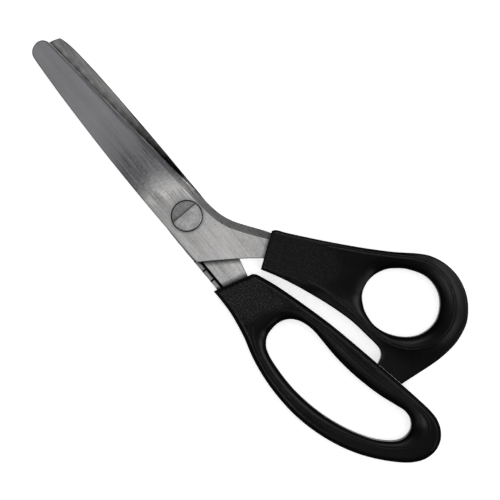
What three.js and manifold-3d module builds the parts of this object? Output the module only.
// Pinking shears: two offset-handled blades on one pivot screw. Each blade carries a row of separate
// tooth pieces in a rabbet along its cutting edge. The teeth are surfaces of revolution about the
// pivot, so the two rows mesh with the same gap at every opening angle.
// Millimetres, +Z up, +X towards the tips. The front blade is the upper one, its cutting edge
// towards -Y; the rear blade is below, its cutting edge towards +Y. Pieces are written about the
// mid plane between the blades, then raised so that the origin is on the pivot axis, on the back
// end face of the screw.
import * as THREE from "three";
import { mergeVertices } from "three/addons/utils/BufferGeometryUtils.js";
import Module from "manifold-3d";

const wasm = await Module();
wasm.setup();

// ---- driving dimensions; heights are from the mid plane ----
const PLATE_IN = 0.1; // inner face of each blade
const PLATE_OUT = 3.5; // outer face of each blade
const HALF_HANDLE = 6.4; // half thickness of the handles
const PITCH = 5.3; // tooth pitch
const TOOTH_HALF = 1.32; // half the height of the zigzag
const MESH_GAP = 0.3; // gap between the two rows of teeth, along Z
const CREST_HALF = 0.12; // half the radial width of the flat on each crest
const FIRST_R = 17.4; // radius where the teeth begin
const TEETH = 14; // toothed pieces on each blade
const STRIP_W = 1.8; // width of the tooth row
const GROOVE_W = 1.05; // relief groove behind the tooth row
const RABBET = 2.45; // rabbet floor
const STRIP_BASE = 2.4; // back face of the tooth pieces
const HOLLOW = 1.45; // hollow of the blade's inner face
const PAD_X = 13.5; // end of the pivot pad
const SPACER_END = 9.95; // x of the joint between the first two spacers
const SPACERS = 8; // further untoothed pieces, beside and behind the pivot
const SLIT = 0.5; // joint between two tooth pieces
const HEAD_R = 6.2; // pivot screw head
const SHOULDER_R = 3.6; // pivot screw shoulder, in the front blade
const THREAD_R = 2.95; // pivot screw thread, in the rear blade
const BORE_CLEARANCE = 0.06; // radial, round the shoulder and the thread
const WASHER_R = 6.4; // sliding washer, let into both blades
const RECESS_CLEARANCE = 0.3; // radial, round the washer and the screw head
const WASHER_RECESS = 0.2; // depth in each blade
const HEAD_RECESS = 0.55; // depth in the front blade
const STOP_GAP = 0.3; // gap between the handles' stop faces when closed
const POCKET = 0.12; // clearance of a tang in its handle
const TANG_HOLE_R = 2; // hole through each tang, filled by a post of its handle
const FRONT_TANG_HOLE = [-46, -25.8];
const REAR_TANG_HOLE = [-44.5, 2.4];
const BEVEL_DEPTH = 0.9; // outer bevel along both cutting edges
const FRONT_BEVEL_W = 2.4;
const REAR_BEVEL_W = 2.2;
const PAST_TIP = 97; // x where the cutters end, beyond the tips
const REACH = 4; // half height of the prisms that trim the tooth pieces

// ---- solids ----
const solid = (geometry) => {
  const bare = new THREE.BufferGeometry()
    .setAttribute("position", geometry.getAttribute("position"))
    .setIndex(geometry.index);
  const merged = mergeVertices(bare, 1e-4);
  const index = merged.index.array;
  const triangles = [];
  for (let i = 0; i < index.length; i += 3) {
    const [a, b, c] = index.subarray(i, i + 3);
    if (a !== b && b !== c && a !== c) triangles.push([a, b, c]);
  }
  const make = (list) =>
    new wasm.Manifold(
      new wasm.Mesh({
        numProp: 3,
        vertProperties: merged.attributes.position.array,
        triVerts: new Uint32Array(list.flat()),
      }),
    );
  const made = make(triangles);
  // a mirrored shape comes out inside out, so its triangles are turned over
  return made.volume() >= 0 ? made : make(triangles.map(([a, b, c]) => [a, c, b]));
};
const toGeometry = (body) => {
  const mesh = body.getMesh();
  const positions = new Float32Array(mesh.numVert * 3);
  for (let i = 0; i < mesh.numVert; i++) {
    const start = i * mesh.numProp;
    positions.set(mesh.vertProperties.subarray(start, start + 3), i * 3);
  }
  const geometry = new THREE.BufferGeometry()
    .setAttribute("position", new THREE.BufferAttribute(positions, 3))
    .setIndex(new THREE.BufferAttribute(new Uint32Array(mesh.triVerts), 1));
  geometry.computeVertexNormals();
  return geometry;
};
const vectors = (points) => points.map(([x, y]) => new THREE.Vector2(x, y));
const extrude = (outline, bottom, top, holes = []) => {
  const shape = new THREE.Shape(vectors(outline));
  for (const hole of holes) shape.holes.push(new THREE.Path(vectors(hole)));
  const geometry = new THREE.ExtrudeGeometry(shape, {
    depth: top - bottom,
    bevelEnabled: false,
    steps: 1,
  });
  geometry.translate(0, 0, bottom);
  return solid(geometry);
};
// a profile of [radius, z] turned about the pivot axis
const lathe = (profile, segments) => {
  const geometry = new THREE.LatheGeometry(vectors(profile), segments);
  geometry.rotateX(Math.PI / 2); // from the lathe's +Y axis to +Z
  return solid(geometry);
};
const cylinder = (radius, bottom, top, segments) => {
  const geometry = new THREE.CylinderGeometry(radius, radius, top - bottom, segments);
  geometry.rotateX(Math.PI / 2);
  geometry.translate(0, 0, (bottom + top) / 2);
  return solid(geometry);
};
// a closed skin through loops of equal point count; capTriangles gives the corner indices of a cap
const skin = (sections, capTriangles) => {
  const count = sections[0].length;
  const positions = [];
  const triangle = (...corners) => positions.push(...corners.flat());
  for (let k = 0; k + 1 < sections.length; k++) {
    const [near, far] = [sections[k], sections[k + 1]];
    for (let i = 0; i < count; i++) {
      const j = (i + 1) % count;
      triangle(near[i], near[j], far[j]);
      triangle(near[i], far[j], far[i]);
    }
  }
  const first = sections[0];
  const last = sections[sections.length - 1];
  for (const [a, b, c] of capTriangles(first)) triangle(first[a], first[c], first[b]);
  for (const [a, b, c] of capTriangles(last)) triangle(last[a], last[b], last[c]);
  const attribute = new THREE.Float32BufferAttribute(positions, 3);
  return solid(new THREE.BufferGeometry().setAttribute("position", attribute));
};
// convex sections, capped by fans
const loft = (sections) =>
  skin(sections, (loop) => loop.slice(2).map((_, i) => [0, i + 1, i + 2]));
// level outlines of any shape stacked along Z
const stack = (rings) =>
  skin(
    rings.map(({ outline, z }) => outline.map(([x, y]) => [x, y, z])),
    (loop) => THREE.ShapeUtils.triangulateShape(vectors(loop), []),
  );

// ---- points ----
// count equal steps from start to end, both included
const range = (start, end, count) =>
  Array.from({ length: count + 1 }, (_, i) => start + ((end - start) * i) / count);
const circle = (radius, [x, y], count = 28) =>
  Array.from({ length: count }, (_, i) => {
    const angle = (2 * Math.PI * i) / count;
    return [x + radius * Math.cos(angle), y + radius * Math.sin(angle)];
  });
const counterClockwise = (points) => {
  const doubleArea = points.reduce((sum, [x, y], i) => {
    const [nextX, nextY] = points[(i + 1) % points.length];
    return sum + x * nextY - nextX * y;
  }, 0);
  return doubleArea < 0 ? [...points].reverse() : points;
};
// moves each point of a counter-clockwise loop along its normal; positive is outwards
const offset = (points, distance) => {
  const normal = (from, to) => {
    const length = Math.hypot(to[0] - from[0], to[1] - from[1]);
    return [(to[1] - from[1]) / length, -(to[0] - from[0]) / length];
  };
  return points.map((point, i) => {
    const before = normal(points[(i + points.length - 1) % points.length], point);
    const after = normal(point, points[(i + 1) % points.length]);
    const spread = 1 + before[0] * after[0] + before[1] * after[1];
    const scale = distance / Math.max(spread, 0.5); // limits the mitre at sharp corners
    return [point[0] + (before[0] + after[0]) * scale, point[1] + (before[1] + after[1]) * scale];
  });
};
// points along a smooth curve, about step apart
const smooth = (points, step, closed = false) => {
  const nodes = points.map(([x, y]) => new THREE.Vector3(x, y, 0));
  const curve = new THREE.CatmullRomCurve3(nodes, closed, "centripetal");
  const count = Math.max(2, Math.round(curve.getLength() / step));
  const spaced = curve.getSpacedPoints(count).map(({ x, y }) => [x, y]);
  return closed ? spaced.slice(0, -1) : spaced;
};

// ---- the cutting edge: straight to the tip, with a cubic blend to a level heel ----
const EDGE_TIP = [91, 2.1];
const EDGE_SLOPE = 0.083;
const HEEL_Y = 9.95;
const BLEND_START = -4;
const BLEND_END = 16;
// distance from the X axis; mirrored, the same curve serves both blades
const edgeY = (x) => {
  const straight = (at) => EDGE_TIP[1] + (EDGE_TIP[0] - at) * EDGE_SLOPE;
  if (x >= BLEND_END) return straight(x);
  if (x <= BLEND_START) return HEEL_Y;
  const length = BLEND_END - BLEND_START;
  const t = (x - BLEND_START) / length;
  const t2 = t * t;
  const t3 = t2 * t;
  const rise = 3 * t2 - 2 * t3;
  return HEEL_Y * (1 - rise) + straight(BLEND_END) * rise - EDGE_SLOPE * length * (t3 - t2);
};
const edgePoints = (side, xs) => xs.map((x) => [x, side * edgeY(x)]);

// ---- blade outlines, [x, y] ----
const frontSpine = smooth([
  [87.96, 7.13], [83, 7.5], [73.2, 8.15], [58.4, 8.85], [43.6, 9.38], [28.7, 9.65], [13, 9.72],
  [-2.75, 9.5], [-12.6, 9.35], [-17.4, 9.0],
], 7);
const frontShankSpine = smooth([
  [-17.4, 9.0], [-20.2, 4.85], [-23.1, 0.8], [-25.9, -3.2], [-28.8, -7.2], [-31.9, -11.0],
], 4);
const frontTang = [
  [-33.4, -12.9], [-40, -17.5], [-56.5, -28.5], [-59.2, -31.6], [-59.6, -34.6], [-56.8, -36.4],
  [-40, -28.6], [-29.5, -23.4],
];
const SHANK_END = 2.5; // x where the shank meets the cutting edge
const frontShankEdge = smooth([
  [-25.2, -20.9], [-21.1, -18.1], [-17.0, -15.3], [-12.9, -12.9], [-8.3, -11.15],
  [-3.4, -10.25], [SHANK_END, -edgeY(SHANK_END)],
], 2.6);
const frontNose = [
  [93.3, -1.0], [94.3, 0.6], [94.5, 2.1], [94.1, 3.9], [93.0, 5.6], [91.2, 6.7],
];
const frontOutline = counterClockwise([
  ...frontSpine,
  ...frontShankSpine.slice(1),
  ...frontTang,
  ...frontShankEdge,
  ...edgePoints(-1, range(6, 91.4, 16)),
  ...frontNose,
]);

const rearTang = [
  [-41, 8.4], [-50.5, 6.3], [-53.6, 3.4], [-53.2, -0.4], [-50.5, -2.6], [-43, -3.9],
];
const rearSpine = smooth([
  [-35.2, -3.4], [-28.2, -5.2], [-20, -7.6], [-10, -9.4], [1.5, -9.95], [16, -9.97],
  [36, -9.9], [51, -9.62], [65.8, -9.3], [75.7, -8.8], [85.6, -7.9], [90.1, -6.75],
], 6);
const rearNose = [91.4, -3.5];
const rearOutline = counterClockwise([
  ...edgePoints(1, range(92.2, -36.5, 24)),
  ...rearTang,
  ...rearSpine,
  rearNose,
]);

// ---- handle outlines, [x, y] ----
// runs of [points, step] that share their end points, so the corners between them stay sharp
const joinRuns = (...runs) =>
  counterClockwise(runs.flatMap(([points, step]) => smooth(points, step).slice(0, -1)));
const loopHole = (points) => counterClockwise(smooth(points, 3.2, true));

const STOP_CORNER = [-109.9, -23.7]; // -X end of the finger handle's stop face
const STOP_SLOPE = 0.1687;
const STOP_SLANT = 1.02; // turns the stop gap into a distance along Y
// on the thumb handle's face that meets the finger handle
const stopPoint = (x) => [
  x,
  STOP_CORNER[1] + STOP_SLOPE * (x - STOP_CORNER[0]) - STOP_GAP * STOP_SLANT,
];

const fingerOuter = joinRuns(
  [[[-31.0, 11.35], [-33.1, 3.9], [-35.4, -4.3]], 5],
  [[[-35.4, -4.3], [-37.2, -6.85]], 5],
  [[
    [-37.2, -6.85], [-41.4, -8.5], [-45.3, -9.9], [-53.1, -12.2], [-61.0, -14.3],
    [-69, -16.3], [-77, -18.0], [-85.2, -19.5], [-93.3, -20.9],
  ], 4],
  [[[-93.3, -20.9], [-101.6, -22.3], STOP_CORNER], 8.4],
  [[
    STOP_CORNER, [-114.8, -24.5], [-119.7, -25.2], [-125, -25.85], [-130, -25.8],
    [-134.6, -24.1], [-138, -21.1], [-139.9, -16.7], [-139.8, -11.8], [-137.9, -7.3],
    [-134.9, -3.4], [-127.6, 3.3], [-119.5, 8.9], [-110.7, 13.2], [-101.4, 16.3],
    [-91.7, 18.2], [-81.8, 18.75], [-71.9, 18.2], [-62.3, 16.5], [-52.8, 13.7],
    [-43.2, 11.85], [-37, 11.4], [-31.0, 11.35],
  ], 3.6],
);
const fingerHole = loopHole([
  [-59.65, -5.2], [-62.75, -7.9], [-66.6, -9.4], [-70.65, -10], [-74.8, -10], [-83, -10],
  [-91.3, -10.65], [-99.5, -12], [-107.5, -13.9], [-115.3, -16.5], [-119.2, -17.7],
  [-123.2, -17.4], [-126.4, -15], [-127.6, -11.2], [-126.6, -7.3], [-121, -1.2],
  [-114.1, 3.2], [-106.7, 6.6], [-98.9, 9.2], [-90.9, 10.9], [-82.7, 11.8], [-74.4, 11.7],
  [-66.2, 10.7], [-62.4, 9.3], [-59.5, 6.5], [-58.2, 2.7], [-58.1, -1.4],
]);
const thumbOuter = joinRuns(
  [[STOP_CORNER[0], -103.6, -97.3].map(stopPoint), 6.3],
  [[
    stopPoint(-97.3), [-95.6, -24.7], [-93.4, -26.0], [-90, -26.1], [-86.5, -25.7],
    [-78.3, -24.8], [-74.3, -24.0], [-66.4, -21.8], [-58.7, -19.2], [-51.1, -16.3],
    [-43.7, -13.1], [-36.45, -9.35],
  ], 3.6],
  [[[-36.45, -9.35], [-31.8, -16.2], [-27.15, -23.05]], 5.5],
  [[
    [-27.15, -23.05], [-31.4, -27.0], [-35.8, -30.4], [-43.5, -36.5], [-51.1, -42.8],
    [-58.6, -49.3], [-65.8, -56.0], [-69.2, -59.6], [-72.6, -63.2], [-76.4, -66.4],
    [-80.8, -68.6], [-85.6, -69.8], [-90.5, -70.0], [-95.3, -69.1], [-99.9, -67.2],
    [-103.9, -64.4], [-107.3, -60.9], [-109.6, -56.6], [-111.1, -51.9], [-111.75, -47],
    [-111.85, -42.0], [-111.5, -37.1], [-110.9, -32.2], stopPoint(STOP_CORNER[0]),
  ], 3.6],
);
const thumbHole = loopHole([
  [-69.86, -49.94], [-71.82, -52.62], [-74.07, -55.08], [-76.7, -57.06], [-79.5, -58.78],
  [-82.56, -59.96], [-85.86, -60.31], [-89.11, -59.91], [-92.18, -58.8], [-94.9, -56.89],
  [-97.13, -54.46], [-98.78, -51.63], [-99.59, -48.46], [-99.54, -45.16], [-98.81, -41.95],
  [-97.28, -39.04], [-95.19, -36.49], [-92.7, -34.31], [-89.92, -32.56], [-86.91, -31.31],
  [-83.68, -30.57], [-80.39, -30.69], [-77.15, -31.32], [-74.15, -32.67], [-71.42, -34.56],
  [-69.49, -37.23], [-68.36, -40.33], [-68.09, -43.64], [-68.64, -46.88],
]);

// ---- blade cutters, written for the rear blade and mirrored in Y and Z for the front one ----
// side +1 is the rear blade: cutting edge at +y, inner face up; side -1 is the front blade
const cutAlongX = (side, xs, sectionAt) =>
  loft(xs.map((x) => sectionAt(x).map(([y, z]) => [x, side * y, side * z])));
const rabbetCutter = (side, startX) =>
  cutAlongX(side, range(startX, PAST_TIP, 24), (x) => {
    const outer = edgeY(x) + 1.5;
    const inner = edgeY(x) - STRIP_W - GROOVE_W;
    return [[outer, -RABBET], [outer, 1], [inner, 1], [inner, -RABBET]];
  });
// [x, distance of the spine from the X axis]
const SPINE_STATIONS = [[13, 9.75], [43.6, 9.4], [58.4, 8.9], [73.2, 8.2], [83, 7.7], [97, 6.6]];
const spineY = (x) => {
  const next = SPINE_STATIONS.findIndex(([stationX]) => x <= stationX);
  const [x0, y0] = SPINE_STATIONS[next - 1];
  const [x1, y1] = SPINE_STATIONS[next];
  return y0 + ((y1 - y0) * (x - x0)) / (x1 - x0);
};
// hollows the inner face, with a ramp up towards the spine
const hollowCutter = (side) =>
  cutAlongX(side, range(PAD_X, PAST_TIP, 20), (x) => {
    const edge = edgeY(x);
    const spine = spineY(x);
    const groove = edge - STRIP_W - GROOVE_W + 0.5; // overlaps the relief groove
    const rampStart = edge + 0.6;
    const run = Math.max(spine - rampStart, 0.6);
    const rise = Math.min(0.95, run * 0.55);
    const overrun = 2; // beyond the spine
    return [
      [groove, -HOLLOW],
      [groove, 1.2],
      [-spine - overrun, 1.2],
      [-spine - overrun, -HOLLOW + (rise * (run + overrun)) / run],
      [-rampStart, -HOLLOW],
    ];
  });
// a bevel on the outer face along a line of [x, y, width, depth]
const bevelCutter = (side, line) =>
  loft(line.map(([x, y, width, depth], i) => {
    const before = line[Math.max(i - 1, 0)];
    const after = line[Math.min(i + 1, line.length - 1)];
    const length = Math.hypot(after[0] - before[0], after[1] - before[1]);
    let normal = [(after[1] - before[1]) / length, -(after[0] - before[0]) / length];
    if (normal[1] * side < 0) normal = normal.map((n) => -n); // points off the blade
    const slope = depth / width;
    const at = (out, z) => [x + normal[0] * out, y + normal[1] * out, -side * z];
    return [
      at(1.5, PLATE_OUT - depth - 1.5 * slope),
      at(1.5, PLATE_OUT + 1),
      at(-width - 1 / slope, PLATE_OUT + 1),
      at(-width, PLATE_OUT),
    ];
  }));

// ---- blades ----
// the front bevel widens behind the pivot and is twice as deep on the shank
const frontBevelLine = [
  [-33.5, -26.6],
  ...frontShankEdge,
  ...edgePoints(-1, range(7, 96, 12)),
].map(([x, y]) => {
  const t = Math.min(Math.max((SHANK_END - x) / 14, 0), 1); // 0 beside the pivot, 1 on the shank
  return [x, y, FRONT_BEVEL_W + 1.5 * Math.sin(Math.PI * t) + 0.3 * t, BEVEL_DEPTH * (1 + t)];
});
const rearBevelLine = edgePoints(1, range(-40, 96, 16))
  .map(([x, y]) => [x, y, REAR_BEVEL_W, BEVEL_DEPTH]);
const washerRecess = (bottom, top) => cylinder(WASHER_R + RECESS_CLEARANCE, bottom, top, 56);

const frontBlade = () =>
  extrude(frontOutline, PLATE_IN, PLATE_OUT, [circle(TANG_HOLE_R, FRONT_TANG_HOLE)])
    .subtract(rabbetCutter(-1, PAD_X))
    .subtract(hollowCutter(-1))
    .subtract(bevelCutter(-1, frontBevelLine))
    .subtract(cylinder(SHOULDER_R + BORE_CLEARANCE, -1, 5, 48))
    .subtract(cylinder(HEAD_R + RECESS_CLEARANCE, PLATE_OUT - HEAD_RECESS, 6, 64))
    .subtract(washerRecess(-1, PLATE_IN + WASHER_RECESS));
const rearBlade = () =>
  extrude(rearOutline, -PLATE_OUT, -PLATE_IN, [circle(TANG_HOLE_R, REAR_TANG_HOLE)])
    .subtract(rabbetCutter(1, -36.6))
    .subtract(hollowCutter(1))
    .subtract(bevelCutter(1, rearBevelLine))
    .subtract(cylinder(THREAD_R + BORE_CLEARANCE, -5, 1, 40))
    .subtract(washerRecess(-PLATE_IN - WASHER_RECESS, 1));

// ---- tooth pieces and spacers ----
// the zigzag surface between the two rows: it peaks at the middle of each rear piece
const toothZ = (radius) => {
  const t = ((radius - FIRST_R) / PITCH) % 1;
  return TOOTH_HALF * (1 - 4 * Math.abs(t - 0.5));
};
const stripOutline = (side, x0, x1, count) => {
  const edge = edgePoints(side, range(x0, x1, count));
  const back = edge.map(([x, y]) => [x, y - side * STRIP_W]);
  return counterClockwise([...edge, ...back.reverse()]);
};
const ring = (profile) => lathe(profile, 180);
const rearTip = extrude(rearOutline, -REACH, REACH);
const frontTip = extrude(frontOutline, -REACH, REACH);
// rear pieces peak upwards at their middle; front ones peak downwards, half a pitch along
const toothPiece = (side, k) => {
  const start = FIRST_R + PITCH * (k + (side > 0 ? 0 : 0.5));
  const end = start + PITCH;
  const middle = (start + end) / 2;
  const inner = start + SLIT / 2;
  const outer = end - SLIT / 2;
  const surface = (radius) => toothZ(radius) - (side * MESH_GAP) / 2;
  const base = -side * STRIP_BASE;
  const crest = surface(middle + CREST_HALF);
  const profile = [
    [inner, base],
    [outer, base],
    [outer, surface(outer)],
    [middle + CREST_HALF, crest],
    [middle - CREST_HALF, crest],
    [inner, surface(inner)],
    [inner, base],
  ];
  return extrude(stripOutline(side, start - 4, end + 1, 3), -REACH, REACH)
    .intersect(ring(profile))
    .intersect(side > 0 ? rearTip : frontTip);
};
// untoothed rear piece, chamfered on top, a little below the blade's inner face
const rearSpacer = (x0, x1) => {
  const outline = stripOutline(1, x0, x1, 1);
  return stack([
    { outline, z: -STRIP_BASE },
    { outline, z: -0.4 },
    { outline: offset(outline, -0.18), z: -0.2 },
  ]);
};
// the last rear spacer before the teeth ends on the first tooth's arc
const arcEndedSpacer = () =>
  rearSpacer(SPACER_END + SLIT / 2, 17)
    .intersect(cylinder(FIRST_R - SLIT / 2, -REACH, REACH, 180));
// the front row's first piece: plain, then the flank that faces the first rear tooth
const frontSpacer = () => {
  const inner = 14;
  const outer = FIRST_R + PITCH / 2 - SLIT / 2;
  const low = 0.2; // underside of the plain part
  const turn = FIRST_R + (PITCH / 4) * (1 + (low - MESH_GAP / 2) / TOOTH_HALF);
  const profile = [
    [inner, low],
    [turn, low],
    [outer, toothZ(outer) + MESH_GAP / 2],
    [outer, STRIP_BASE],
    [inner, STRIP_BASE],
    [inner, low],
  ];
  return ring(profile)
    .intersect(extrude(stripOutline(-1, PAD_X + SLIT / 2, 21, 3), -REACH, REACH));
};

// ---- handles ----
// rounding of the handles' edges: [z, inset], from the face inwards
const EDGE_ROUND = [[HALF_HANDLE, 2.0], [HALF_HANDLE - 0.7, 0.75], [HALF_HANDLE - 2.4, 0]];
const handleSkin = (outer, hole) => {
  const levels = [...EDGE_ROUND.map(([z, inset]) => [-z, inset]), ...[...EDGE_ROUND].reverse()];
  const holeLevels = [[-HALF_HANDLE - 1, 1.9], ...levels, [HALF_HANDLE + 1, 1.9]];
  const body = stack(levels.map(([z, inset]) => ({ outline: offset(outer, -inset), z })));
  return body.subtract(
    stack(holeLevels.map(([z, inset]) => ({ outline: offset(hole, inset * 0.95), z }))),
  );
};
const tangPocket = (outline, bottom, top, hole) =>
  extrude(offset(outline, POCKET), bottom - POCKET, top + POCKET, [
    circle(TANG_HOLE_R - POCKET, hole),
  ]);
const thumbHandle = () =>
  handleSkin(thumbOuter, thumbHole)
    .subtract(tangPocket(frontOutline, PLATE_IN, PLATE_OUT, FRONT_TANG_HOLE));
const fingerHandle = () =>
  handleSkin(fingerOuter, fingerHole)
    .subtract(tangPocket(rearOutline, -PLATE_OUT, -PLATE_IN, REAR_TANG_HOLE));

// ---- pivot hardware ----
const pivotScrew = () => {
  const shoulderZ = -0.24;
  const headZ = 3.0;
  const topZ = 4.75;
  const dFace = extrude([[1.5, -8], [8, -8], [8, 8], [1.5, 8]], 4.1, 6);
  return lathe([
    [0, -HALF_HANDLE], [2.65, -HALF_HANDLE], [THREAD_R, -HALF_HANDLE + 0.3],
    [THREAD_R, shoulderZ], [SHOULDER_R, shoulderZ], [SHOULDER_R, headZ],
    [HEAD_R, headZ], [HEAD_R, topZ - 0.4], [HEAD_R - 0.4, topZ], [0, topZ],
  ], 56).subtract(dFace); // stepped D face that a pronged key turns
};
const slideWasher = () => {
  const bore = 3.75;
  const half = 0.25; // half thickness
  return lathe([[bore, -half], [WASHER_R, -half], [WASHER_R, half], [bore, half], [bore, -half]], 56);
};
// one turn of flat wire with its two ends sprung apart
const springWasher = () => {
  const [inner, outer, thickness] = [3.1, 5.0, 0.62];
  const [start, end] = [14, 346]; // degrees
  return loft(range(start, end, 30).map((degrees) => {
    const angle = (degrees * Math.PI) / 180;
    const top = -3.58 - 0.16 * ((degrees - start) / (end - start));
    const at = (radius, z) => [radius * Math.cos(angle), radius * Math.sin(angle), z];
    return [at(inner, top), at(inner, top - thickness), at(outer, top - thickness), at(outer, top)];
  }));
};
const pivotNut = () => {
  const acrossFlats = 9.6;
  const turn = 0.2; // radians
  const corner = acrossFlats / 2 / Math.cos(Math.PI / 6);
  const hexagon = Array.from({ length: 6 }, (_, i) => {
    const angle = (Math.PI / 3) * i + turn;
    return [corner * Math.cos(angle), corner * Math.sin(angle)];
  });
  const bottom = -HALF_HANDLE - 0.01;
  const chamfer = lathe([
    [0, bottom], [corner - 0.75, bottom], [corner + 0.1, -HALF_HANDLE + 0.55],
    [corner + 0.1, -4.3], [0, -4.3],
  ], 48);
  return extrude(hexagon, -HALF_HANDLE, -4.42)
    .intersect(chamfer)
    .subtract(cylinder(THREAD_R + BORE_CLEARANCE, -8, -3, 40));
};

// ---- materials ----
const material = (color, roughness, metalness) => () =>
  new THREE.MeshStandardMaterial({ color, roughness, metalness });
const steel = material(0x9c9a99, 0.36, 1);
const toothSteel = material(0x77777a, 0.42, 1);
const hardware = material(0xa9a6a8, 0.34, 1);
const bronze = material(0xa9814a, 0.4, 1);
const plastic = material(0x141415, 0.5, 0);

// ---- assembly ----
const shears = new THREE.Group();
const stand = new THREE.Group();
stand.position.z = HALF_HANDLE; // handles' undersides and the end of the screw rest on z = 0
shears.add(stand);
const rear = new THREE.Group();
const front = new THREE.Group();
const pivot = new THREE.Group();
stand.add(rear, front, pivot);

const put = (group, name, body, makeMaterial) => {
  const mesh = new THREE.Mesh(toGeometry(body), makeMaterial());
  mesh.name = name;
  group.add(mesh);
};
const twoDigits = (n) => String(n).padStart(2, "0");

put(rear, "rear_blade", rearBlade(), steel);
put(rear, "finger_handle", fingerHandle(), plastic);
put(front, "front_blade", frontBlade(), steel);
put(front, "thumb_handle", thumbHandle(), plastic);
for (let k = 0; k < TEETH; k++) {
  put(rear, "rear_tooth_" + twoDigits(k + 1), toothPiece(1, k), toothSteel);
  put(front, "front_tooth_" + twoDigits(k + 1), toothPiece(-1, k), toothSteel);
}
put(rear, "rear_spacer_01", arcEndedSpacer(), toothSteel);
for (let k = 0; k < SPACERS; k++) {
  const end = SPACER_END - k * PITCH - SLIT / 2;
  put(rear, "rear_spacer_" + twoDigits(k + 2), rearSpacer(end - PITCH + SLIT, end), toothSteel);
}
put(front, "front_spacer_01", frontSpacer(), toothSteel);
put(pivot, "pivot_screw", pivotScrew(), hardware);
put(pivot, "slide_washer", slideWasher(), bronze);
put(pivot, "spring_washer", springWasher(), hardware);
put(pivot, "pivot_nut", pivotNut(), hardware);

export default shears;
